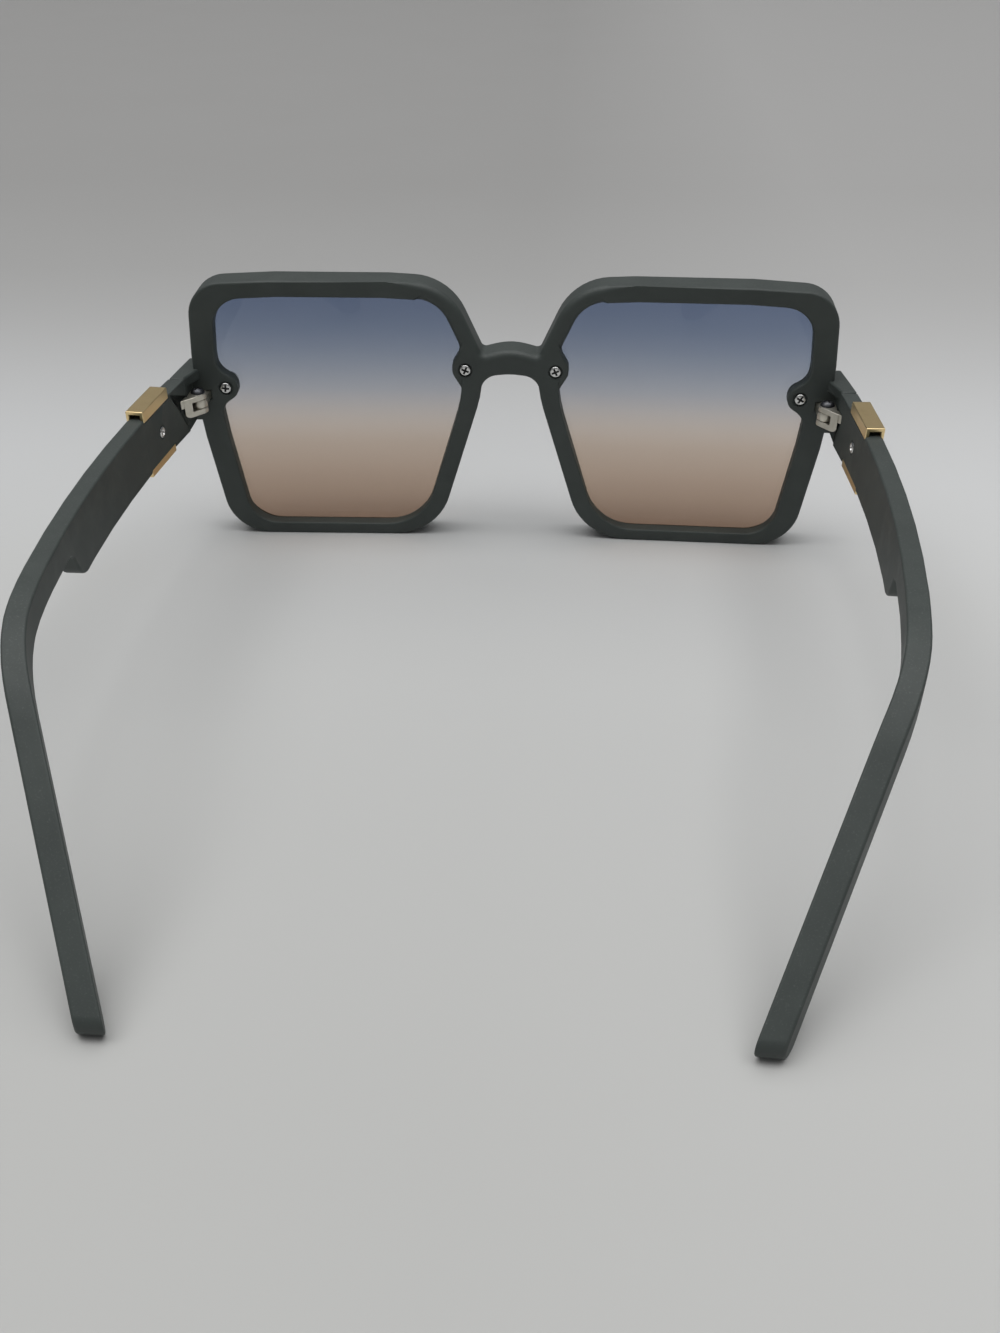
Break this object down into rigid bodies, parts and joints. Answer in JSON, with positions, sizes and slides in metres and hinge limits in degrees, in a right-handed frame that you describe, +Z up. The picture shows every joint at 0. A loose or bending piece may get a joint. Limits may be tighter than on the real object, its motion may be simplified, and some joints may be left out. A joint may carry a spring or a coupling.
{
  "type": "square sunglasses",
  "caption": "Square sunglasses with a flat plastic front, screwed-in gradient lenses, metal clasps and two temples that fold on hinges.",
  "frame": {"origin": "the floor under the middle of the whole; the front's plane of symmetry is x = 0", "axes": "+Z up as worn, the front faces -Y, the temples run back along +Y, +X is the wearer's left"},
  "size_m": [0.1558, 0.16, 0.0617],
  "materials": {
    "frame_plastic": "matte grey-green, soft to the touch",
    "lens_tint": "clear plastic with a gradient tint, blue-grey above to brown below",
    "screw_steel": "bright",
    "hinge_nickel": "satin nickel",
    "dark_screw": "dark, glossy",
    "clasp_gold": "satin gold"
  },
  "bodies": {
    "front": {"front_frame": "frame_plastic", "left_lens": "lens_tint", "right_lens": "lens_tint", "left_inner_lens_screw": "screw_steel", "left_outer_lens_screw": "screw_steel", "right_inner_lens_screw": "screw_steel", "right_outer_lens_screw": "screw_steel", "left_inner_lens_nut": "screw_steel", "left_outer_lens_nut": "screw_steel", "right_inner_lens_nut": "screw_steel", "right_outer_lens_nut": "screw_steel", "left_front_hinge": "hinge_nickel", "right_front_hinge": "hinge_nickel"},
    "left_temple": {"left_temple": "frame_plastic", "left_temple_hinge": "hinge_nickel", "left_hinge_screw": "dark_screw", "left_clasp": "clasp_gold", "left_clasp_pin": "screw_steel"},
    "right_temple": {"right_temple": "frame_plastic", "right_temple_hinge": "hinge_nickel", "right_hinge_screw": "dark_screw", "right_clasp": "clasp_gold", "right_clasp_pin": "screw_steel"}
  },
  "joints": [
    {"name": "left_temple_fold", "type": "hinge", "parent": "front", "child": "left_temple", "pos_m": [0.0698, -0.067, 0.0355], "axis": [0, 0, 1], "range_deg": [0, 84]},
    {"name": "right_temple_fold", "type": "hinge", "parent": "front", "child": "right_temple", "pos_m": [-0.0698, -0.067, 0.0355], "axis": [0, 0, -1], "range_deg": [-3.4, 69]}
  ]
}
